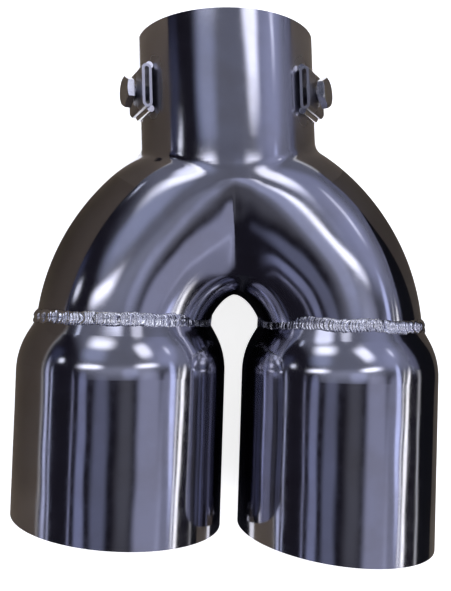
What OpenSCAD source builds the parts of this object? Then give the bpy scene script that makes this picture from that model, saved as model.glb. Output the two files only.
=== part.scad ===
// Clamp-on exhaust tip of polished stainless tube: one inlet collar, two bent legs and two slant-cut outlets.
// The origin is the centre of the collar's mouth. +Y leaves the mouth along the collar's axis,
// the legs run towards -Y, +X is to the right and +Z is up. All lengths are in millimetres.

/* [Inlet collar] */
// Bore of the collar, a little over the tail pipe that it slides on
collar_bore = 64; // [60:0.5:68]
// Wall of the collar
collar_wall = 1.5; // [1:0.1:2.5]
// Straight length of the collar, from its mouth to its neck
collar_len = 43; // [38:1:60]
// Length of the neck, where the collar narrows to meet the legs
neck_len = 16; // [10:1:20]
// How far the end of the neck stands proud of the legs
neck_step = 0.4; // [0.2:0.1:0.8]
// Distance from the end of the neck to the middle of the legs where they meet
neck_gap = 3.2; // [2:0.1:5]
// Angle between the collar's axis and the line of the legs
collar_lean = 3.5; // [0:0.5:6]

/* [Legs] */
// Outside diameter of the leg tube
leg_od = 62.3; // [58:0.1:64]
// Wall of the leg tube
leg_wall = 1.5; // [1:0.1:2]
// Radius of the bend, to the middle of the tube
bend_r = 54.5; // [50:0.5:62]
// Angle still to go, where the bend is cut and the outlet is welded on
bend_short = 9; // [6:0.5:12]

/* [Outlets] */
// Outside diameter of each outlet
outlet_od = 76.2; // [70:0.1:80]
// Wall of the outlets
outlet_wall = 1.5; // [1:0.1:2]
// Distance between the axes of the two outlets
outlet_pitch = 83.2; // [81:0.2:92]
// Length from the weld to the rim, midway between the outlets
outlet_len = 77.3; // [60:0.1:110]
// Slant of the plane that both rims are cut to
rim_slant = 5; // [0:0.5:12]
// Slope of the shoulder where it leaves the weld
shoulder_angle = 30; // [20:1:40]
// Radius that rounds the shoulder into the outlet's wall
shoulder_round = 28; // [15:1:32]

/* [Welds] */
// Width of the bead round each leg
bead_w = 4.6; // [3:0.1:5]
// Least height of that bead above the leg
bead_h = 0.6; // [0.3:0.1:1.2]
// Width of the small beads along the sleeves
tack_w = 2.6; // [2:0.1:3.2]

/* [Clamp sleeves] */
// Distance from the mouth to the middle of the left sleeve
left_clamp_at = 22.8; // [16:0.1:28]
// Distance from the mouth to the middle of the right sleeve
right_clamp_at = 24.6; // [16:0.1:28]
// Angle of the left screw, measured from the top of the collar
left_clamp_angle = 70; // [55:1:90]
// Angle of the right screw, measured from the top of the collar
right_clamp_angle = 59; // [50:1:90]
// Length of each sleeve, round the collar
sleeve_len = 16; // [14:0.5:20]
// Height of each sleeve, along the collar
sleeve_h = 15.4; // [13:0.1:20]
// Thickness of the flattened sleeve
sleeve_t = 3.6; // [3.2:0.1:5]
// Sheet that the sleeve is made of
sleeve_wall = 1; // [0.8:0.1:1.3]
// How far the screw sits behind the middle of its sleeve
screw_back = 1.7; // [0:0.1:3]

/* [Clamp screws] */
// Thread diameter of the screws
screw_d = 6; // [5:0.5:6.5]
// Length of the screw under its head
screw_len = 6; // [5:0.5:6]
// Width of the head across its flats
head_af = 10; // [9:0.5:11]
// Height of the head
head_h = 2.9; // [2.6:0.1:4.5]
// Gap left between the head and its sleeve
screw_out = 1.1; // [0.4:0.1:2]
// Running clearance of the screw in the sleeve's thread
thread_play = 0.05; // [0.03:0.01:0.08]
// Clearance of the screw in the collar's hole
hole_play = 0.3; // [0.2:0.05:0.5]

/* [Hidden] */
$fn = 96;

polished = "#9a9aa6";
welded = "#b9b9c6";
zinc = "#c3c3cc";

cut = 0.5;
collar_r = collar_bore / 2 + collar_wall;
leg_r = leg_od / 2;
outlet_r = outlet_od / 2;
neck_r = leg_r + neck_step;
neck_end = collar_len + neck_len;

// The plane of the outlets' welds cuts each bend between these distances from the bend's centre.
seam_y = bend_r * sin(bend_short);
seam_near = sqrt(pow(bend_r - leg_r, 2) - seam_y * seam_y);
seam_far = sqrt(pow(bend_r + leg_r, 2) - seam_y * seam_y);
seam_r = (seam_far - seam_near) / 2;

// The bends' centres lie past the middle plane, so that each leg ends square on its outlet's axis.
bend_in = (seam_near + seam_far - outlet_pitch) / 2;
bend_at = neck_end + neck_gap + sqrt(bend_r * bend_r - bend_in * bend_in);

reach = bend_r + leg_r + outlet_len;

// Places its children in the legs' frame: midway between the bends' centres, +Y towards the collar.
module in_legs() {
    translate([0, -bend_at, 0])
        rotate([0, 0, -collar_lean])
            children();
}

// One side of the legs' frame, 1 for the right and -1 for the left.
module on_side(side) {
    in_legs()
        mirror([side < 0 ? 1 : 0, 0, 0])
            children();
}

// The collar as a solid, inset from its outside and running past both ends.
module collar_form(inset, over) {
    taper = (collar_r - neck_r) / neck_len;
    end_r = neck_r - inset - over * taper;
    rotate([90, 0, 0])
        rotate_extrude()
            polygon([[0, -over], [collar_r - inset, -over], [collar_r - inset, collar_len],
                [end_r, neck_end + over], [0, neck_end + over]]);
}

// The bent tube of the right leg as a solid, from the outlet's axis up past the middle plane.
module bend_form(r) {
    translate([-bend_in, 0, 0])
        rotate_extrude(angle = 90)
            translate([bend_r, 0])
                circle(r);
}

// The same bend, trimmed at the middle plane and at the weld.
module elbow_form() {
    intersection() {
        bend_form(leg_r);
        translate([0, seam_y, -reach])
            cube([2 * reach, 2 * reach, 2 * reach]);
    }
}

module elbow(side) {
    difference() {
        on_side(side)
            difference() {
                elbow_form();
                bend_form(leg_r - leg_wall);
            }
        collar_form(collar_wall, cut);
    }
}

// Half the outline of an outlet, with the weld at y = 0 and the outlet below it.
// A straight slope leaves the weld and an arc rounds it into the wall.
module outlet_outline(r, weld_r, round_r, over) {
    slope_end_r = r - round_r * (1 - cos(shoulder_angle));
    slope_len = (slope_end_r - weld_r) / tan(shoulder_angle);
    wall_y = slope_len + round_r * sin(shoulder_angle);
    top_r = weld_r - over * tan(shoulder_angle);
    polygon([[0, -wall_y - cut], [slope_end_r, -wall_y - cut], [slope_end_r, -slope_len], [top_r, over],
        [0, over]]);
    translate([r - round_r, -wall_y])
        intersection() {
            circle(round_r);
            translate([0, -cut])
                square([2 * round_r, wall_y - slope_len + cut]);
        }
    translate([0, -reach])
        square([r, reach - wall_y]);
}

// The right outlet as a solid, inset from its outside and much too long, so that the slant can trim it.
module outlet_form(inset, over) {
    translate([outlet_pitch / 2, seam_y, 0])
        rotate([-90, 0, 0])
            rotate_extrude()
                outlet_outline(outlet_r - inset, leg_r - inset / cos(shoulder_angle),
                    shoulder_round - inset, over);
}

module outlet(side) {
    difference() {
        on_side(side)
            difference() {
                outlet_form(0, 0);
                outlet_form(outlet_wall, cut);
            }
        in_legs()
            translate([0, seam_y - outlet_len, 0])
                rotate([0, 0, -rim_slant])
                    translate([-reach, -2 * reach, -reach])
                        cube([2 * reach, 2 * reach, 2 * reach]);
    }
}

module outlet_weld(side) {
    on_side(side)
        difference() {
            translate([outlet_pitch / 2, seam_y, 0])
                rotate([90, 0, 0])
                    rotate_extrude()
                        translate([seam_r + bead_h - bead_w / 2, 0])
                            circle(d = bead_w);
            elbow_form();
            outlet_form(0, cut);
        }
}

// Places its children on the screw's axis, +Z out from the collar, +X away from the middle of the top.
module at_clamp(side) {
    angle = side < 0 ? left_clamp_angle : right_clamp_angle;
    at = side < 0 ? left_clamp_at : right_clamp_at;
    mirror([side < 0 ? 1 : 0, 0, 0])
        translate([0, -at, 0])
            rotate([0, angle, 0])
                children();
}

module sleeve_outline(h, t) {
    square([h - t, t], center = true);
    for (end = [-1, 1])
        translate([end * (h - t) / 2, 0])
            circle(d = t);
}

// A sleeve's outer or inner form, a flattened tube lying round the collar.
module sleeve_form(inset, over) {
    translate([-screw_back, 0, collar_r + sleeve_t / 2])
        rotate([90, 0, 90])
            linear_extrude(sleeve_len + 2 * over, center = true)
                sleeve_outline(sleeve_h - 2 * inset, sleeve_t - 2 * inset);
}

module clamp_sleeve(side) {
    at_clamp(side)
        difference() {
            sleeve_form(0, 0);
            sleeve_form(sleeve_wall, cut);
            translate([0, 0, collar_r - cut])
                cylinder(d = screw_d + 2 * thread_play, h = sleeve_t + 2 * cut);
        }
}

// Two small beads fill the wedge between the collar and the sleeve's long edges.
module sleeve_welds(side) {
    difference() {
        at_clamp(side)
            difference() {
                for (edge = [-1, 1])
                    translate([-screw_back, edge * sleeve_h / 2, collar_r + tack_w / 8])
                        rotate([0, 90, 0])
                            cylinder(d = tack_w, h = sleeve_len - tack_w, center = true);
                sleeve_form(0, cut);
            }
        collar_form(0, cut);
    }
}

module clamp_screw(side) {
    seat = collar_r + sleeve_t + screw_out;
    corner_r = head_af / 2 / cos(30);
    chamfer_r = 0.48 * head_af;
    at_clamp(side) {
        translate([0, 0, seat - screw_len])
            cylinder(d = screw_d, h = screw_len);
        translate([0, 0, seat])
            intersection() {
                rotate([0, 0, 30])
                    cylinder(r = corner_r, h = head_h, $fn = 6);
                cylinder(r1 = chamfer_r + head_h / tan(30), r2 = chamfer_r, h = head_h);
            }
    }
}

module inlet_collar() {
    color(polished) difference() {
        collar_form(0, 0);
        collar_form(collar_wall, cut);
        on_side(1) elbow_form();
        on_side(-1) elbow_form();
        for (side = [-1, 1])
            at_clamp(side)
                translate([0, 0, collar_bore / 2 - collar_wall])
                    cylinder(d = screw_d + 2 * hole_play, h = 3 * collar_wall);
    }
}

module left_elbow() color(polished) elbow(-1);
module right_elbow() color(polished) elbow(1);
module left_outlet() color(polished) outlet(-1);
module right_outlet() color(polished) outlet(1);
module left_outlet_weld() color(welded) outlet_weld(-1);
module right_outlet_weld() color(welded) outlet_weld(1);
module left_clamp_sleeve() color(polished) clamp_sleeve(-1);
module right_clamp_sleeve() color(polished) clamp_sleeve(1);
module left_sleeve_welds() color(welded) sleeve_welds(-1);
module right_sleeve_welds() color(welded) sleeve_welds(1);
module left_clamp_screw() color(zinc) clamp_screw(-1);
module right_clamp_screw() color(zinc) clamp_screw(1);

inlet_collar();
left_elbow();
right_elbow();
left_outlet();
right_outlet();
left_outlet_weld();
right_outlet_weld();
left_clamp_sleeve();
right_clamp_sleeve();
left_sleeve_welds();
right_sleeve_welds();
left_clamp_screw();
right_clamp_screw();
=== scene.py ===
import math

import bmesh
import bpy
import numpy as np
from mathutils import Matrix, Vector


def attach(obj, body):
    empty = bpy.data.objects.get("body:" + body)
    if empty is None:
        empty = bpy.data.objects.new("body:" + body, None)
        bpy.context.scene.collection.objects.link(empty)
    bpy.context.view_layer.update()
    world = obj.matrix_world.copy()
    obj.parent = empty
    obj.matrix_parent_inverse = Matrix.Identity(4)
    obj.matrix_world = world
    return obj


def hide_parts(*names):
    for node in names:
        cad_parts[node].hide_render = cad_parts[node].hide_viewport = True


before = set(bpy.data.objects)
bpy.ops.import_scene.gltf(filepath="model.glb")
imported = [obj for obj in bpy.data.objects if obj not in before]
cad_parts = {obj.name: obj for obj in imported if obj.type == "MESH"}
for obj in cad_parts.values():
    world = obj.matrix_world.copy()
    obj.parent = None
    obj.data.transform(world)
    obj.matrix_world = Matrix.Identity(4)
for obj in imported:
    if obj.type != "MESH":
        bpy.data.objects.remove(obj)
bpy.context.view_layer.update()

MM = 0.001
SIDE = {"left": -1, "right": 1}

# Sizes of the part's source, in millimetres. In the row frame +Y points out of the collar's mouth and +Z up.
COLLAR_R = 33.5
COLLAR_LEN = 43.0
NECK_END = 59.0
NECK_GAP = 3.2
NECK_R = 31.55
LEAN = math.radians(3.5)
LEG_R = 31.15
LEG_WALL = 1.5
BEND_R = 54.5
BEND_SHORT = math.radians(9)
PITCH = 83.2
OUTLET_R = 38.1
SHOULDER = math.radians(30)
SLEEVE_T = 3.6
CLAMP_AT = {"left": 22.8, "right": 24.6}
CLAMP_ANGLE = {"left": math.radians(70), "right": math.radians(59)}

# The legs' seam: its height over the bends' centres, and how far from a bend's centre the near and far sides
# of its leg lie at that height.
SEAM_Y = BEND_R * math.sin(BEND_SHORT)
SEAM_NEAR = math.sqrt((BEND_R - LEG_R) ** 2 - SEAM_Y ** 2)
SEAM_FAR = math.sqrt((BEND_R + LEG_R) ** 2 - SEAM_Y ** 2)
# How far each bend's centre lies past the middle, and how far both lie from the collar's mouth.
BEND_IN = (SEAM_NEAR + SEAM_FAR - PITCH) / 2
BEND_AT = NECK_END + NECK_GAP + math.sqrt(BEND_R ** 2 - BEND_IN ** 2)
FLOOR_Z = -OUTLET_R


def to_legs(points):
    """Row frame to the legs' frame: midway between the bends' centres, +Y towards the collar."""
    x, y, z = points[:, 0], points[:, 1] + BEND_AT, points[:, 2]
    return np.stack([x * math.cos(LEAN) - y * math.sin(LEAN),
                     x * math.sin(LEAN) + y * math.cos(LEAN), z], 1)


def from_legs(points):
    """The legs' frame back to the row frame."""
    x, y, z = points[:, 0], points[:, 1], points[:, 2]
    return np.stack([x * math.cos(LEAN) + y * math.sin(LEAN),
                     y * math.cos(LEAN) - x * math.sin(LEAN) - BEND_AT, z], 1)


# Materials

CLOUD_MM = 18.0         # size of the faint stains on the steel
SMEAR_MM = 5.0          # size of the patches that the buffing wheel leaves a little duller
RING_STRETCH = 0.06     # how often the belt's lines change round the tube, against along it
SWELL_MM = (16, 34, 16)     # length of the waves in rolled and bent tube, in x, y and z
DULL_ROUGH = 0.34       # roughness of the metal that the wheel can't reach
DULL_SQUEEZE = 0.5      # the dull patches are longer along the collar than round it
DULL_CORE = 0.1         # share of a patch's reach over which it is dull all through
# Where these patches lie, beside the sleeves, and how far each of them reaches, in millimetres
DULL_SPOTS = (((-30, -CLAMP_AT["left"], 20), 15), ((26, -CLAMP_AT["right"], 23), 15))
GRAIN_MM = 3.0          # grain of the stage's paper and boards
GRAIN_DARK = 0.97       # how bright the boards' grain is at its darkest, against the rest


def srgb(hex_code):
    """A hex colour as linear red, green, blue and alpha."""
    parts = [int(hex_code[i:i + 2], 16) / 255 for i in (1, 3, 5)]
    return [c / 12.92 if c <= 0.04045 else ((c + 0.055) / 1.055) ** 2.4 for c in parts] + [1.0]


def add(tree, kind, settings=None, links=None):
    """Adds a shader node, sets its properties and sockets, and links its inputs."""
    node = tree.nodes.new("ShaderNode" + kind)
    for key, value in (settings or {}).items():
        if isinstance(key, str) and hasattr(node, key):
            setattr(node, key, value)
        else:
            node.inputs[key].default_value = value
    for key, source in (links or {}).items():
        tree.links.new(source, node.inputs[key])
    return node


def new_material(name):
    """An empty material and its node tree."""
    material = bpy.data.materials.new(name)
    material.use_nodes = True
    material.node_tree.nodes.clear()
    return material, material.node_tree


def dull_patches(tree, place, patches):
    """1 in the middle of each patch that the buffing wheel can't reach beside a sleeve, and 0 outside."""
    squeezed = add(tree, "Mapping", {"Scale": (1, DULL_SQUEEZE, 1)}, {"Vector": place})
    worst = None
    for (x, y, z), reach in patches:
        spot = (x * MM, y * DULL_SQUEEZE * MM, z * MM)
        gap = add(tree, "VectorMath", {"operation": "DISTANCE", 1: spot}, {0: squeezed.outputs[0]})
        near = add(tree, "MapRange", {"interpolation_type": "SMOOTHSTEP", 1: reach * DULL_CORE * MM,
                                      2: reach * MM, 3: 1.0, 4: 0.0}, {0: gap.outputs["Value"]})
        if worst is None:
            worst = near
        else:
            worst = add(tree, "Math", {"operation": "MAXIMUM"}, {0: worst.outputs[0], 1: near.outputs[0]})
    return worst.outputs[0]


def buffed_metal(name, colour, stain, rough, rough_more, line_mm, line_depth, wave_mm=0.0, dull=()):
    """Metal ground with a belt round the tube and then buffed: a near mirror, in which the belt's lines
    survive as faint rings that blur reflections a little. They are drawn coarser than real ones, to show."""
    material, tree = new_material(name)
    place = add(tree, "TexCoord").outputs["Object"]
    cloud = add(tree, "TexNoise", {"Scale": 1 / (CLOUD_MM * MM), "Detail": 4.0}, {"Vector": place})
    smear = add(tree, "TexNoise", {"Scale": 1 / (SMEAR_MM * MM), "Detail": 6.0, "Roughness": 0.65},
                {"Vector": place})
    fine = 1 / (line_mm * MM)
    rings = add(tree, "Mapping", {"Scale": (RING_STRETCH * fine, fine, RING_STRETCH * fine)},
                {"Vector": place})
    lines = add(tree, "TexNoise", {"Scale": 1.0, "Detail": 3.0}, {"Vector": rings.outputs[0]})
    stained = add(tree, "MapRange", {1: 0.45, 2: 0.75}, {0: cloud.outputs[0]})
    tint = add(tree, "Mix", {"data_type": "RGBA", 6: srgb(colour), 7: srgb(stain)}, {0: stained.outputs[0]})
    gloss = add(tree, "MapRange", {1: 0.3, 2: 0.7, 3: rough, 4: rough_more}, {0: smear.outputs[0]})
    bump = add(tree, "Bump", {"Strength": 0.5, "Distance": line_depth * MM}, {"Height": lines.outputs[0]})
    if wave_mm:
        # Rolled and bent tube is never quite true, so straight reflections waver along it.
        long = add(tree, "Mapping", {"Scale": [1 / (size * MM) for size in SWELL_MM]}, {"Vector": place})
        swell = add(tree, "TexNoise", {"Scale": 1.0, "Detail": 1.0}, {"Vector": long.outputs[0]})
        bump = add(tree, "Bump", {"Strength": 1.0, "Distance": wave_mm * MM},
                   {"Height": swell.outputs[0], "Normal": bump.outputs[0]})
    if dull:
        worst = dull_patches(tree, place, dull)
        gloss = add(tree, "Mix", {"data_type": "FLOAT", 3: DULL_ROUGH}, {0: worst, 2: gloss.outputs[0]})
    shader = add(tree, "BsdfPrincipled", {"Metallic": 1.0},
                 {"Base Color": tint.outputs[2], "Roughness": gloss.outputs[0], "Normal": bump.outputs[0]})
    add(tree, "OutputMaterial", links={"Surface": shader.outputs[0]})
    return material


def painted_board(name, colour, top=None, fade=0.0):
    """Matt painted board with a faint grain. Given a top, it thins out over the fade below that."""
    material, tree = new_material(name)
    place = add(tree, "TexCoord").outputs["Object"]
    grain = add(tree, "TexNoise", {"Scale": 1 / (GRAIN_MM * MM), "Detail": 2.0}, {"Vector": place})
    paint = srgb(colour)
    darker = [c * GRAIN_DARK for c in paint[:3]] + [1.0]
    tone = add(tree, "Mix", {"data_type": "RGBA", 6: paint, 7: darker}, {0: grain.outputs[0]})
    surface = add(tree, "BsdfPrincipled", {"Roughness": 0.9}, {"Base Color": tone.outputs[2]})
    if top is not None:
        height = add(tree, "SeparateXYZ", {}, {0: place}).outputs[2]
        thin = add(tree, "MapRange", {"interpolation_type": "SMOOTHSTEP", 1: (top - fade) * MM, 2: top * MM},
                   {0: height})
        clear = add(tree, "BsdfTransparent")
        surface = add(tree, "MixShader", {},
                      {0: thin.outputs[0], 1: surface.outputs[0], 2: clear.outputs[0]})
    add(tree, "OutputMaterial", links={"Surface": surface.outputs[0]})
    return material


# Meshes

def make_piece(name, points, faces, material, body="tip", normals=None):
    """A smooth mesh from points in millimetres, riding on a body."""
    mesh = bpy.data.meshes.new(name)
    mesh.from_pydata((np.asarray(points) * MM).tolist(), [], [list(f) for f in faces])
    mesh.validate()
    mesh.polygons.foreach_set("use_smooth", [True] * len(mesh.polygons))
    if normals is not None:
        mesh.normals_split_custom_set_from_vertices(np.asarray(normals).tolist())
    piece = bpy.data.objects.new(name, mesh)
    bpy.context.scene.collection.objects.link(piece)
    mesh.materials.append(material)
    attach(piece, body)
    return piece


def surface_net(field, low, high, step):
    """The zero surface of a field as quads, with one point in each cell that the surface crosses."""
    axes = [np.arange(low[i], high[i] + step, step) for i in range(3)]
    shape = [len(a) for a in axes]
    grid = np.stack(np.meshgrid(*axes, indexing="ij"), -1).reshape(-1, 3)
    inside = (field(grid) < 0).reshape(shape)
    count = sum(inside[i:shape[0] - 1 + i, j:shape[1] - 1 + j, k:shape[2] - 1 + k].astype(int)
                for i in (0, 1) for j in (0, 1) for k in (0, 1))
    mixed = (count > 0) & (count < 8)
    ids = np.full(mixed.shape, -1)
    ids[mixed] = np.arange(mixed.sum())
    cell = np.argwhere(mixed)
    points = np.stack([axes[i][cell[:, i]] + step / 2 for i in range(3)], 1)
    faces = []
    for axis in range(3):
        u, v = [(1, 2), (2, 0), (0, 1)][axis]
        near = np.moveaxis(inside, (axis, u, v), (0, 1, 2))
        cells = np.moveaxis(ids, (axis, u, v), (0, 1, 2))
        crossing = near[:-1, 1:-1, 1:-1] != near[1:, 1:-1, 1:-1]
        i, j, k = np.nonzero(crossing)
        quad = np.stack([cells[i, j, k], cells[i, j + 1, k], cells[i, j + 1, k + 1], cells[i, j, k + 1]], 1)
        out = near[:-1, 1:-1, 1:-1][i, j, k]
        quad[~out] = quad[~out][:, ::-1]
        faces.append(quad)
    return points, np.concatenate(faces)


def gradient(field, points, h=0.02):
    """Slope of a field at each point."""
    return np.stack([(field(points + h * e) - field(points - h * e)) / (2 * h) for e in np.eye(3)], 1)


def onto(field, points, rounds=5):
    """Moves points onto the field's zero surface."""
    for _ in range(rounds):
        g = gradient(field, points)
        points = points - field(points)[:, None] * g / np.maximum((g * g).sum(1), 1e-6)[:, None]
    return points


def rise(value, start, end):
    """0 up to start, 1 from end on, and a smooth curve between. The end may be the lower of the two."""
    t = np.clip((value - start) / (end - start), 0, 1)
    return t * t * (3 - 2 * t)


def unit(vectors):
    """Each vector at length 1."""
    return vectors / np.linalg.norm(vectors, axis=1)[:, None]


# The fork, in millimetres

LAP = 0.03              # the skin stands this far proud of the tubes that it covers
NET_STEP = 1.25         # size of the skin's quads
NET_LOW = (-84, -116, -36)  # lowest corner of the box that holds the skin
NET_HIGH = (88, 6, 36)      # its highest corner, along the collar counted from the skin's top
BLEND = 8.0             # reach of the ground weld where the collar meets the legs at a right angle
BLEND_LEAST = 1.4       # reach where the two are nearly in line
ROOT_BLEND = 4.0        # the same two for the weld's root, inside the tubes
ROOT_LEAST = 0.8
SKIN_TOP = -30.0        # where the skin starts on the collar's outside
ROOT_TOP = -36.0        # where it starts inside
TAPER_LOSS = 0.7        # share of the neck's taper that is lost on its top and underside
NECK_BOW = 0.6          # how slowly the taper starts
NECK_PAST = 9.0         # length of collar that dives under the legs past the neck
DIVE = (0.17, 0.02)     # slope of that dive at its start, and how it steepens with each millimetre
PAST_ROUND = 3.0        # rounding of the collar's hidden end
CREASE = 1.8            # least half width of the ground weld between the legs
CREASE_MORE = 4.0       # what is added to that half way up the legs' sides
BUILD_UP = 2.3          # height of the weld over the meeting of the collar and both legs
BUILD_AT = -55.0        # its middle along the collar
BUILD_WIDE = 36.0       # its half width across the collar
BUILD_LONG = 13.0       # its half length along the collar
DIP = 1.0               # how far grinding has sunk the legs' seam
DIP_REACH = 6.0         # how far from the seam the sinking reaches
DIP_ROUND = 0.5         # rounding of the hollow's bottom
DIP_LEAN = 0.14         # the seam leans this much to the left on its way up


def collar_radius(y, z):
    """Radius of the collar. Past its straight part it narrows over the neck, then dives under the legs."""
    t = np.clip((-COLLAR_LEN - y) / (NECK_END - COLLAR_LEN), 0, 1)
    past = np.maximum(-NECK_END - y, 0)
    taper = (NECK_R - COLLAR_R) * (1 - TAPER_LOSS * rise(np.abs(z), 6, 22))
    return COLLAR_R + taper * t * t * (1 + NECK_BOW - NECK_BOW * t) - DIVE[0] * past - DIVE[1] * past * past


def fork_field(inset, blend, least):
    """Signed distance, in millimetres, to the collar and legs with their welds ground smooth."""
    def field(points):
        x, y, z = points.T
        high = np.abs(z)
        across = np.hypot(x, z)
        # Outside, the neck tapers less on its top and underside. Inside, it tapers alike all round.
        collar = across - collar_radius(y, z if inset < 0 else 0 * z) + inset
        end = -(NECK_END + NECK_PAST) - y
        soft = np.maximum(PAST_ROUND - np.abs(collar - end), 0) / PAST_ROUND
        collar = np.maximum(collar, end) + PAST_ROUND * soft ** 3 / 6
        q = to_legs(points)
        side = np.hypot(q[:, 0], CREASE + CREASE_MORE * rise(high, 28, 20) * rise(high, 2, 14))
        ring = np.hypot(side + BEND_IN, q[:, 1])
        tube = np.hypot(ring - BEND_R, z)
        leg = tube - LEG_R + inset
        if inset < 0:
            # The weld is built up where the three tubes meet, and ground hollow along the legs' seam.
            mound = np.exp(-(x / BUILD_WIDE) ** 2 - ((y - BUILD_AT) / BUILD_LONG) ** 2)
            leg = leg - BUILD_UP * rise(high, 0, 24) * mound
            away = np.hypot(q[:, 0] + DIP_LEAN * np.maximum(z, 0), DIP_ROUND) - DIP_ROUND
            leg = leg + DIP * rise(high, 18, 27) * rise(y, -55, -68) * np.exp(-away / DIP_REACH)
        # The nearer the two surfaces are to being in line, the less weld there is between them.
        out = (ring - BEND_R) / np.maximum(tube, 1e-6) / np.maximum(ring, 1e-6)
        gx = out * (side + BEND_IN) * q[:, 0] / side
        gy = out * q[:, 1]
        gz = z / np.maximum(tube, 1e-6)
        aligned = ((gx * math.cos(LEAN) + gy * math.sin(LEAN)) * x + gz * z) / np.maximum(across, 1e-6)
        reach = np.maximum(blend * (1 - aligned), least)
        meet = np.maximum(reach - np.abs(collar - leg), 0) / reach
        return np.minimum(collar, leg) - reach * meet ** 3 / 6
    return field


def trim(mesh, point, normal):
    """Cuts a mesh with a plane, in the row frame in millimetres, and drops what lies past it."""
    geom = mesh.verts[:] + mesh.edges[:] + mesh.faces[:]
    bmesh.ops.bisect_plane(mesh, geom=geom, plane_co=point, plane_no=normal, clear_outer=True, dist=1e-4)


def fork_skin(material):
    """The collar's lower end and both legs as one skin, inside and out."""
    seam = from_legs(np.array([[0, SEAM_Y, 0.0]]))[0]
    down = from_legs(np.array([[0, SEAM_Y - 1, 0.0]]))[0] - seam
    points, faces, normals = [], [], []
    start = 0
    for inset, blend, least, top in ((-LAP, BLEND, BLEND_LEAST, SKIN_TOP),
                                     (LEG_WALL + LAP, ROOT_BLEND, ROOT_LEAST, ROOT_TOP)):
        field = fork_field(inset, blend, least)
        high = (NET_HIGH[0], top + NET_HIGH[1], NET_HIGH[2])
        spots, quads = surface_net(field, NET_LOW, high, NET_STEP)
        spots = onto(field, spots)
        mesh = bmesh.new()
        verts = [mesh.verts.new(spot) for spot in spots]
        for quad in quads:
            mesh.faces.new([verts[i] for i in quad])
        trim(mesh, (0, top, 0), (0, 1, 0))
        trim(mesh, tuple(seam), tuple(down))
        mesh.verts.index_update()
        spots = np.array([v.co for v in mesh.verts])
        sign = 1 if inset < 0 else -1
        for face in mesh.faces:
            loop = [v.index + start for v in face.verts]
            faces.append(loop if sign > 0 else loop[::-1])
        points.append(spots)
        normals.append(unit(gradient(field, spots)) * sign)
        start += len(spots)
        mesh.free()
    piece = make_piece("fork_skin", np.concatenate(points), faces, material,
                       normals=np.concatenate(normals))
    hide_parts("left_elbow", "right_elbow")
    return piece


# The weld beads round the legs, in millimetres

BEAD_W = 4.8            # width of the bead
BEAD_H = 0.85           # height of its crown
BEAD_FOOT = 0.12        # how deep its edges lie in the tubes
BEAD_LOW = 0.3          # share of its height that is left in the gap between the legs
RIPPLE = 1.2            # distance from one ripple to the next
RIPPLE_H = 0.58         # height of the ripples
RIPPLE_BOW = 0.85       # how far each ripple bows back at the bead's edges, in ripples
RIPPLE_LEAN = 0.12      # how far each ripple leans, in ripples
RIPPLE_MID = 0.72       # the ripples rise over this share of their height and sink below it
WANDER = 0.25           # how far the bead wanders off the seam
STEP_UNEVEN = 0.45      # how far the ripples stray from even steps, in ripples
WIDTH_UNEVEN = 0.07     # how much the width varies, as a share, and so on for the crown and the ripples
CROWN_UNEVEN = 0.22
RIPPLE_UNEVEN = 0.35
FALL = 1.5              # how steeply each tube's own line falls away past the seam
CORNER = 0.6            # rounding where those two lines meet
AROUND = 1280           # points round the bead
ACROSS = 17             # points across it


def leg_surface(turn, height):
    """Distance from the outlet's axis to the leg's outside, at a height above the seam."""
    r = np.full(np.broadcast(turn, height).shape, LEG_R)
    y = SEAM_Y + height
    for _ in range(6):
        x = PITCH / 2 + r * np.cos(turn)
        r = r - (np.hypot(np.hypot(x + BEND_IN, y) - BEND_R, r * np.sin(turn)) - LEG_R)
    return r


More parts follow.
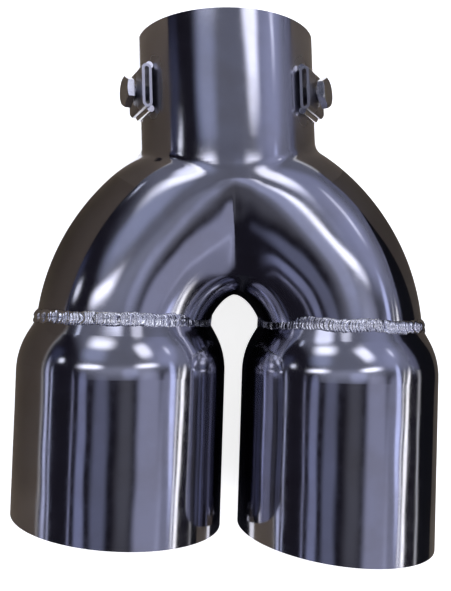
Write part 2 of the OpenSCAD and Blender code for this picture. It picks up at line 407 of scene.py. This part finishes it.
def outlet_bead(name, material, seed):
    """TIG bead round one leg: overlapping crescents of frozen metal, a little uneven along the way."""
    rng = np.random.default_rng(seed)
    turn = np.linspace(0, 2 * math.pi, AROUND, endpoint=False)[:, None]
    s = np.linspace(-1, 1, ACROSS)[None, :]

    def waves(count, low, high):
        """A smooth uneven value round the ring, about 1 high, with from low to high waves in a turn."""
        total = 0
        for _ in range(count):
            total = total + np.sin(rng.integers(low, high) * turn + rng.uniform(0, 2 * math.pi))
        return total / math.sqrt(count)

    half = BEAD_W / 2 * (1 + WIDTH_UNEVEN * waves(6, 20, 90))
    t = s * half + WANDER * waves(4, 3, 15)
    step = round(2 * math.pi * LEG_R / RIPPLE) * turn / (2 * math.pi) + STEP_UNEVEN * waves(6, 8, 60)
    crescent = np.abs(np.sin(math.pi * (step + RIPPLE_BOW * s * s + RIPPLE_LEAN * s))) ** 0.55
    crown = np.clip(1 - s * s, 0, 1) ** 0.6
    relief = RIPPLE_H * (1 + RIPPLE_UNEVEN * waves(5, 9, 50)) * (crescent - RIPPLE_MID) * crown ** 0.5
    # The torch can't follow all the way into the gap between the legs, so the bead lies flat there.
    reach = BEAD_LOW + (1 - BEAD_LOW) * rise(np.cos(turn), -0.85, -0.35)
    lump = BEAD_H * crown * (1 + CROWN_UNEVEN * waves(6, 10, 80))
    height = reach * (lump + relief) - BEAD_FOOT * (1 - crown)
    # The bead follows the leg above the seam and the shoulder's cone below it, rounded where they meet.
    leg = leg_surface(turn, np.maximum(t, 0)) - FALL * np.maximum(-t, 0)
    cone = LEG_R - np.minimum(t, 0) * math.tan(SHOULDER) - FALL * np.maximum(t, 0)
    soft = np.maximum(CORNER - np.abs(leg - cone), 0) / CORNER
    r = np.maximum(leg, cone) + CORNER * soft ** 3 / 6 + height
    x = SIDE[name] * (PITCH / 2 + r * np.cos(turn))
    points = np.stack([x, np.broadcast_to(SEAM_Y + t, r.shape), r * np.sin(turn)], -1).reshape(-1, 3)
    faces = []
    for i in range(AROUND):
        j = (i + 1) % AROUND
        for k in range(ACROSS):
            m = (k + 1) % ACROSS
            quad = [i * ACROSS + k, j * ACROSS + k, j * ACROSS + m, i * ACROSS + m]
            faces.append(quad if SIDE[name] > 0 else quad[::-1])
    piece = make_piece(name + "_rippled_bead", from_legs(points), faces, material)
    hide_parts(name + "_outlet_weld")
    return piece


# The clamp screws, in millimetres

SCREW_D = 6.0
SCREW_LEN = 6.0
SCREW_PITCH = 1.0
THREAD_DEPTH = 0.5
THREAD_SHARP = 1.25                     # height of the sharp thread, in depths, before it is cut flat
THREAD_CREST = 0.12                     # what is cut off its crest, in depths. The rest is cut off its root
TIP_CHAMFER = 0.6                       # on the screw's tip
HEAD_AF = 10.0                          # across the flats
HEAD_H = 2.9
HEAD_OUT = 1.1                          # gap between the sleeve and the head
HEAD_AT = COLLAR_R + SLEEVE_T + HEAD_OUT    # underside of the head, from the collar's axis
CHAMFER_R = 0.48 * HEAD_AF              # where the chamfer meets the head's top
CHAMFER = math.radians(30)
WASHER_R = 0.46 * HEAD_AF               # the washer face under the head
WASHER_H = 0.25
DISH_R = 0.86 * CHAMFER_R               # the hollow in the head's top
DISH = 0.12
WORN = 0.12                             # width of the worn edges
EDGE_ANGLE = math.radians(24)           # sharper edges than this are worn, not smooth
SCREW_AROUND = 96                       # points round the screw
THREAD_STEPS = 12                       # rings in each turn of the thread


def clamp_axis(name):
    """A clamp screw's origin and axes in the row frame: away from the middle, along the collar, outwards."""
    a = CLAMP_ANGLE[name]
    out = Vector((SIDE[name] * math.sin(a), 0, math.cos(a)))
    away = Vector((SIDE[name] * math.cos(a), 0, -math.sin(a)))
    return Vector((0, -CLAMP_AT[name], 0)), away, Vector((0, 1, 0)), out


def screw_rings(turn):
    """Radius and height over the head's underside for each ring of points, from the tip to the top."""
    flat = np.zeros(len(turn))
    rings = [(flat, flat - SCREW_LEN)]
    # The thread runs as a ridge that climbs one pitch in each turn. Its tip is chamfered.
    steps = int(SCREW_LEN / SCREW_PITCH * THREAD_STEPS)
    for i in range(steps + 1):
        z = SCREW_LEN * i / steps
        wave = np.abs(((z / SCREW_PITCH - turn / (2 * math.pi)) % 1) - 0.5) * 2
        r = SCREW_D / 2 - THREAD_DEPTH * np.clip(wave * THREAD_SHARP - THREAD_CREST, 0, 1)
        rings.append((np.minimum(r, SCREW_D / 2 - max(TIP_CHAMFER - z, 0)), flat + z - SCREW_LEN))
    hexagon = HEAD_AF / 2 / np.cos((turn + math.pi / 6) % (math.pi / 3) - math.pi / 6)
    rings += [(flat + WASHER_R, flat), (flat + WASHER_R, flat + WASHER_H), (hexagon, flat + WASHER_H),
              (hexagon, HEAD_H - (hexagon - CHAMFER_R) * math.tan(CHAMFER)),
              (flat + CHAMFER_R, flat + HEAD_H),
              (flat + DISH_R, flat + HEAD_H - DISH), (flat, flat + HEAD_H - DISH)]
    return rings


def weld_ends(piece):
    """Joins the points that a ring of no size leaves on one spot."""
    mesh = bmesh.new()
    mesh.from_mesh(piece.data)
    bmesh.ops.remove_doubles(mesh, verts=mesh.verts[:], dist=1e-6)
    mesh.to_mesh(piece.data)
    mesh.free()


def clamp_screw(name, material):
    """A hexagon-head M6 screw with its thread, chamfered head and washer face."""
    origin, away, along, out = clamp_axis(name)
    turn = np.arange(SCREW_AROUND) * 2 * math.pi / SCREW_AROUND
    rings = screw_rings(turn)
    points = []
    for r, z in rings:
        for a, b, h in zip(turn, r, z):
            spot = away * float(b * math.cos(a)) + along * float(b * math.sin(a))
            points.append(tuple(origin + out * (HEAD_AT + float(h)) + spot))
    faces = []
    flip = away.cross(along).dot(out) < 0
    for i in range(len(rings) - 1):
        low, high = i * SCREW_AROUND, (i + 1) * SCREW_AROUND
        for j in range(SCREW_AROUND):
            k = (j + 1) % SCREW_AROUND
            quad = [low + j, low + k, high + k, high + j]
            faces.append(quad[::-1] if flip else quad)
    piece = make_piece(name + "_hexagon_screw", points, faces, material, name + "_screw")
    weld_ends(piece)
    piece.data.set_sharp_from_angle(angle=EDGE_ANGLE)
    edge = piece.modifiers.new("worn_edges", "BEVEL")
    edge.width = WORN * MM
    edge.segments = 2
    edge.limit_method = "ANGLE"
    edge.angle_limit = EDGE_ANGLE
    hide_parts(name + "_clamp_screw")
    return piece


# The stage: a white sweep, a dim room, boards that only reflections show (two of them painted shade under
# and between the outlets), and cloth-fronted lamps

UNSEEN = ("camera", "shadow", "diffuse")    # rays that pass a board by
FLOOR_GLOW = 0.8        # lifts the floor to white for the eye
FLOOR_REACH = 4.0       # half width of the floor, in metres
PAINTED_SHADE_Z = FLOOR_Z + 0.6   # height of the painted-shade sheet under the outlets, in millimetres
PAINTED_SHADE_CORNERS = ((-100, -330), (90, -330), (30, -62), (-30, -62))
FILL = 1.0              # radiance of the overhead light
FILL_SIZE = 2.2         # its width and height over the floor's middle, in metres
FILL_HIGH = 1.6
AIM = Vector((0, -0.1, 0))      # the point that all lamps face, in metres
# Distance of a lamp from that point, in metres. The nearer it is, the more the collar and the outlets differ
# in where they see it.
FAR, NEAR, NEARER, NEAREST = 1.2, 0.6, 0.286, 0.22

# Boards on the floor: a name, a path of x, y and top in millimetres, a colour, and over how many millimetres
# below the top they thin out.
BOARDS = (
    ("left_card", ((-52, 45, 29), (-50, 0, 29), (-50, -42, 29), (-66, -70, 30), (-84, -95, 31),
                   (-93, -118, 32), (-97, -145, 34), (-97, -270, 34)), "#A09078", 6),
    ("right_card", ((52, 45, 29), (50, 0, 29), (50, -44, 28), (64, -68, 24), (80, -92, 16),
                    (87, -118, 10), (91, -145, 9), (91, -270, 9)), "#A89A84", 4),
    ("right_shade", ((58, -44, 24), (70, -66, 28), (86, -90, 32), (93, -118, 34), (97, -145, 34),
                     (97, -270, 34)), "#26262C", 4),
    ("right_screen", ((260, 200, 110), (260, -60, 110), (200, -120, 40)), "#9A9CB0", 60),
    # Painted shade: a dark board low in the gap between the outlets, where only shade falls, which only the
    # metal's reflections show.
    ("middle_painted_shade", ((-6.5, -122, 4), (-11, -200, 4), (-14, -270, 4)), "#22222A", 2),
    ("end_card", ((-110, -330, 70), (110, -330, 70)), "#26262C", 6),
)

# Lamps: a name, the angle from straight up towards +X, the lift towards +Y, the width, the height (these in
# degrees), the radiance, a colour, the share of soft edge, the slant in degrees, and the distance.
LAMPS = (
    # The collar's two streaks and the light on the legs' outer sides
    ("left_key_top", -25, 54, 26, 16, 1.7, "#E8ECFF", 0.6, 0, NEARER),
    ("left_key", -27, 41, 34, 22, 2.1, "#F0F3FF", 0.8, 0, NEAR),
    ("left_key_edge", -31, 25, 34, 26, 0.36, "#C8D4FF", 0.7, 0, NEAR),
    ("left_low_strip", -33, 9.5, 34, 8, 2.8, "#F0F2FF", 0.8, 0, NEAR),
    ("right_key_top", 15, 53, 14, 18, 1.1, "#F0F2FF", 0.6, 10, NEARER),
    ("right_key", 25, 31, 20, 30, 1.9, "#F0F2FF", 0.7, 22, NEAR),
    ("right_low_strip", 26, 9.5, 32, 8, 2.8, "#F0F2FF", 0.8, 0, NEAR),
    ("neck_glow", 2, 2, 90, 24, 0.3, "#DCE2FF", 0.8, 0, NEAR),
    ("right_glow", 46, 28, 44, 50, 0.26, "#C4CCFF", 0.5, 0, NEAR),
    # Lamps to the sides, for the elbows' outer edges
    ("right_side", 64, 18, 50, 36, 0.12, "#D2D6FF", 0.5, 0, FAR),
    ("right_line", 79, 22, 3, 56, 0.7, "#DCE2FF", 0.7, 0, FAR),
    ("right_spot", 56, 28, 6, 16, 1.1, "#F0F2FF", 0.9, 10, FAR),
    ("far_right_low_lamp", 94, 38, 7, 10, 2.4, "#FFFFFF", 0.6, 0, NEAR),
    ("far_right_lamp", 106, 31, 7, 8, 1.8, "#FFFFFF", 0.6, 0, NEAR),
    ("far_left_lamp", -66, 15, 9, 7, 1.8, "#F0F4FF", 0.7, 14, FAR),
    ("far_left_high_lamp", -68, 47, 5, 9, 1.2, "#E0E8FF", 0.7, 0, FAR),
    ("far_left_glow", -74, 20, 18, 22, 0.1, "#A8B4F0", 0.8, 0, FAR),
    # Strips overhead towards the outlets' end, for the stripes along both outlets
    ("left_strip", -39, -20, 12, 60, 0.45, "#C8D0FF", 0.5, 0, FAR),
    ("left_middle", -20, -18, 20, 44, 0.26, "#CCD4FF", 0.6, 0, FAR),
    ("left_line", -50, -20, 3, 60, 0.5, "#D2D6FF", 0.6, 0, FAR),
    ("left_edge", -80, -10, 5, 60, 1.1, "#D8DEFF", 0.5, 0, FAR),
    ("left_edge_line", -74, -12, 2.5, 50, 1.0, "#D8DEFF", 0.5, 0, FAR),
    ("gap_streak", -92, -42, 6, 44, 1.2, "#E8ECFF", 0.7, 0, NEAREST),
    ("middle_low", 5, -16, 24, 40, 0.14, "#D6D8E8", 0.8, 0, FAR),
    ("middle_top", 10, 2, 26, 16, 0.36, "#CCD4FF", 0.6, 0, FAR),
    ("right_wide", 30, -24, 32, 66, 0.56, "#D0D4F4", 0.5, 0, FAR),
    ("right_mid", 52, -26, 24, 62, 0.44, "#D0D4F4", 0.4, 0, FAR),
    ("right_strip", 56, -6, 8, 44, 1.25, "#CBD4FF", 0.5, 0, FAR),
    ("right_edge", 68, -14, 5, 48, 2.4, "#FFFFFF", 0.5, -14, FAR),
    ("right_edge_line", 62, -14, 2, 48, 1.6, "#FFFFFF", 0.5, -10, FAR),
    ("right_streak", 84, -36, 7, 36, 1.8, "#FFFFFF", 0.6, -40, FAR),
)


def stage_piece(name, points, faces, material, hidden=()):
    """A mesh of the stage, in metres. The kinds of ray in hidden pass it by."""
    mesh = bpy.data.meshes.new(name)
    mesh.from_pydata(points, [], faces)
    mesh.materials.append(material)
    piece = bpy.data.objects.new(name, mesh)
    bpy.context.scene.collection.objects.link(piece)
    for kind in hidden:
        setattr(piece, "visible_" + kind, False)
    return piece


def lamp_cloth(name, w, h, radiance, colour, soft):
    """A lamp's cloth front: brightest in the middle, softer at its edges, and clear where no light comes."""
    material, tree = new_material(name)
    place = add(tree, "SeparateXYZ", {}, {0: add(tree, "TexCoord").outputs["Object"]})
    powers = []
    for axis, half in ((0, w), (1, h)):
        out = add(tree, "Math", {"operation": "MULTIPLY", 1: 1 / half}, {0: place.outputs[axis]})
        out = add(tree, "Math", {"operation": "ABSOLUTE"}, {0: out.outputs[0]})
        powers.append(add(tree, "Math", {"operation": "POWER", 1: 3.0}, {0: out.outputs[0]}))
    total = add(tree, "Math", {"operation": "ADD"}, {0: powers[0].outputs[0], 1: powers[1].outputs[0]})
    rim = add(tree, "Math", {"operation": "POWER", 1: 1 / 3}, {0: total.outputs[0]})
    strength = add(tree, "MapRange", {"interpolation_type": "SMOOTHSTEP", 1: 1 - soft, 2: 1.0,
                                      3: radiance, 4: 0.0}, {0: rim.outputs[0]})
    light = add(tree, "Emission", {"Color": srgb(colour)}, {"Strength": strength.outputs[0]})
    clear = add(tree, "BsdfTransparent")
    both = add(tree, "AddShader", {}, {0: light.outputs[0], 1: clear.outputs[0]})
    facing = add(tree, "MixShader", {}, {0: add(tree, "NewGeometry").outputs["Backfacing"],
                                         1: both.outputs[0], 2: clear.outputs[0]})
    add(tree, "OutputMaterial", links={"Surface": facing.outputs[0]})
    return material


def softbox(name, angle, lift, wide, high, radiance, colour, soft, slant, far):
    """A lamp of the table above, turned to face the part."""
    a, b = math.radians(angle), math.radians(lift)
    back = Vector((math.sin(a) * math.cos(b), math.sin(b), math.cos(a) * math.cos(b)))
    along = (Vector((0, 1, 0)) - back * back.y).normalized()
    across = along.cross(back)
    c, s = math.cos(math.radians(slant)), math.sin(math.radians(slant))
    across, along = across * c + along * s, along * c - across * s
    w, h = far * math.tan(math.radians(wide / 2)), far * math.tan(math.radians(high / 2))
    cloth = lamp_cloth(name + "_cloth", w, h, radiance, colour, soft)
    lamp = stage_piece(name, [(-w, -h, 0), (w, -h, 0), (w, h, 0), (-w, h, 0)], [(3, 2, 1, 0)], cloth,
                       ("camera", "shadow"))
    lamp.matrix_world = (Matrix.Translation(AIM + back * far)
                         @ Matrix((across, along, back)).transposed().to_4x4())
    return lamp


def side_card(name, path, colour, fade):
    """A board that stands on the floor beside the part and keeps the pale floor out of the metal."""
    points = [(x * MM, y * MM, z * MM) for x, y, top in path for z in (FLOOR_Z, top)]
    faces = [(2 * i, 2 * i + 2, 2 * i + 3, 2 * i + 1) for i in range(len(path) - 1)]
    board = painted_board(name + "_board", colour, max(top for _, _, top in path), fade)
    return stage_piece(name, points, faces, board, UNSEEN)


def gap_painted_shade():
    """A dark sheet just over the floor under the outlets, which only reflections show: painted shade for the
    part's shadow there, which keeps the pale floor out of the gap's sides.
    """
    points = [(x * MM, y * MM, PAINTED_SHADE_Z * MM) for x, y in PAINTED_SHADE_CORNERS]
    # Painted shade: the sheet's dark colour stands for the shadow under the outlets, in the metal's
    # reflections.
    return stage_piece("gap_painted_shade", points, [(0, 1, 2, 3)], painted_board("gap_painted_shade_board", "#1C1C22"), UNSEEN)


def seen_rays(tree):
    """1 for what the eye sees, straight or in metal or glass, and 0 for the light that falls on things."""
    ray = add(tree, "LightPath")
    seen = ray.outputs["Is Camera Ray"]
    for kind in ("Is Glossy Ray", "Is Transmission Ray"):
        seen = add(tree, "Math", {"operation": "MAXIMUM"}, {0: seen, 1: ray.outputs[kind]}).outputs[0]
    return seen


def pale_floor():
    """A white paper sweep. It renders as white to the eye and in the metal, and keeps the part's shadow."""
    material, tree = new_material("floor_paper")
    place = add(tree, "TexCoord").outputs["Object"]
    grain = add(tree, "TexNoise", {"Scale": 1 / (GRAIN_MM * MM), "Detail": 2.0}, {"Vector": place})
    tone = add(tree, "Mix", {"data_type": "RGBA", 6: srgb("#F4F4F4"), 7: srgb("#F0F0F0")},
               {0: grain.outputs[0]})
    paper = add(tree, "BsdfPrincipled", {"Roughness": 0.9}, {"Base Color": tone.outputs[2]})
    lift = add(tree, "Math", {"operation": "MULTIPLY", 1: FLOOR_GLOW}, {0: seen_rays(tree)})
    glow = add(tree, "Emission", {"Color": (1, 1, 1, 1)}, {"Strength": lift.outputs[0]})
    both = add(tree, "AddShader", {}, {0: paper.outputs[0], 1: glow.outputs[0]})
    add(tree, "OutputMaterial", links={"Surface": both.outputs[0]})
    r, z = FLOOR_REACH, FLOOR_Z * MM
    return stage_piece("floor", [(-r, -r, z), (r, -r, z), (r, r, z), (-r, r, z)], [(0, 1, 2, 3)], material)


def room():
    """A dim room: cool towards the collar's end and the right, dark at the left and the outlets' end.
    Low down, past the floor's far edge, the white sweep goes on."""
    dark, cool = (0.014, 0.013, 0.020, 1), (0.19, 0.20, 0.26, 1)
    world = bpy.data.worlds.new("studio")
    world.use_nodes = True
    tree = world.node_tree
    way = add(tree, "SeparateXYZ", {}, {0: add(tree, "TexCoord").outputs["Generated"]})
    towards = add(tree, "MapRange", {"interpolation_type": "SMOOTHSTEP", 1: -0.1, 2: 0.25},
                  {0: way.outputs[1]})
    rightwards = add(tree, "MapRange", {"interpolation_type": "SMOOTHSTEP", 1: -0.72, 2: -0.5},
                     {0: way.outputs[0]})
    amount = add(tree, "Math", {"operation": "MULTIPLY"}, {0: towards.outputs[0], 1: rightwards.outputs[0]})
    tone = add(tree, "Mix", {"data_type": "RGBA", 6: dark, 7: cool}, {0: amount.outputs[0]})
    low = add(tree, "MapRange", {"interpolation_type": "SMOOTHSTEP", 1: 0.02, 2: 0.09, 3: 1.0, 4: 0.0},
              {0: way.outputs[2]})
    sweep = add(tree, "Math", {"operation": "MULTIPLY"}, {0: low.outputs[0], 1: seen_rays(tree)})
    tone = add(tree, "Mix", {"data_type": "RGBA", 7: srgb("#F2F2F4")},
               {0: sweep.outputs[0], 6: tone.outputs[2]})
    tree.links.new(tone.outputs[2], tree.nodes["Background"].inputs[0])
    bpy.context.scene.world = world


def fill_light():
    """A wide soft light overhead for the matt surfaces. The metal doesn't show it."""
    data = bpy.data.lights.new("fill", "AREA")
    data.shape = "SQUARE"
    data.size = FILL_SIZE
    data.energy = FILL * math.pi * FILL_SIZE ** 2
    fill = bpy.data.objects.new("fill", data)
    bpy.context.scene.collection.objects.link(fill)
    fill.location = (0, AIM.y, FILL_HIGH)
    fill.visible_glossy = False


def stage():
    """All that stands round the part."""
    pale_floor()
    room()
    for board in BOARDS:
        side_card(*board)
    gap_painted_shade()
    for lamp in LAMPS:
        softbox(*lamp)
    fill_light()


# The camera, as fitted to the photograph's outlines

PHOTO_W, PHOTO_H = 451, 591             # pixels
FOCAL, CENTRE_X, CENTRE_Y = 655.30, 261.86, 289.44  # focal length and the lens's axis, in pixels
CAMERA_AT = (-22.74, -100.17, 252.67)   # millimetres
PAN, TILT, ROLL = 0.1328, 0.0274, 0.0303    # radians, in the fit's frame, which follows the legs
SENSOR = 36.0


def camera():
    """The photograph's view: close above the part, looking straight down at it."""
    data = bpy.data.cameras.new("camera")
    data.sensor_fit = "HORIZONTAL"
    data.sensor_width = SENSOR
    data.lens = FOCAL * SENSOR / PHOTO_W
    data.shift_x = (PHOTO_W / 2 - CENTRE_X) / PHOTO_W
    data.shift_y = (CENTRE_Y - PHOTO_H / 2) / PHOTO_W
    data.clip_start = 0.01
    lens = bpy.data.objects.new("camera", data)
    bpy.context.scene.collection.objects.link(lens)
    ahead = Vector((math.sin(PAN) * math.cos(TILT), math.cos(PAN) * math.cos(TILT), math.sin(TILT)))
    level = Vector((math.cos(PAN), -math.sin(PAN), 0))
    upright = level.cross(ahead)
    right = level * math.cos(ROLL) + upright * math.sin(ROLL)
    up = upright * math.cos(ROLL) - level * math.sin(ROLL)

    def turned(v):
        """From the frame of the camera's fit to the row frame."""
        x = v.x * math.cos(LEAN) + v.z * math.sin(LEAN)
        y = v.z * math.cos(LEAN) - v.x * math.sin(LEAN)
        return Vector((x, y, -v.y))

    columns = [turned(right), turned(up), -turned(ahead)]
    lens.matrix_world = Matrix.Translation(Vector(CAMERA_AT) * MM) @ Matrix(columns).transposed().to_4x4()
    bpy.context.scene.camera = lens


bpy.context.scene.view_settings.view_transform = "Standard"
camera()
stage()

# Tubes of 304 stainless steel, ground and then buffed to a near mirror, duller beside the welded sleeves.
TUBE = buffed_metal("buffed_stainless_tube", "#BDBDC6", "#B4B2B6", rough=0.08, rough_more=0.14,
                    line_mm=0.6, line_depth=0.004, wave_mm=0.25, dull=DULL_SPOTS)
# Stainless filler left as welded: bright, and rougher than the tubes, so that each ripple glints by itself.
WELD = buffed_metal("stainless_weld", "#EEEEF2", "#D2CECE", rough=0.12, rough_more=0.24,
                    line_mm=0.8, line_depth=0.01)
# Steel screws with bright zinc plate: a satin shine with a little unevenness.
SCREW = buffed_metal("zinc_plated_screw", "#C9C9D0", "#BDBBB8", rough=0.15, rough_more=0.28,
                     line_mm=0.5, line_depth=0.006)
for node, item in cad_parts.items():
    item.data.materials.clear()
    item.data.materials.append(SCREW if "screw" in node else WELD if "weld" in node else TUBE)

fork_skin(TUBE)
outlet_bead("left", WELD, 11)
outlet_bead("right", WELD, 23)
for name in ("left", "right"):
    clamp_screw(name, SCREW)
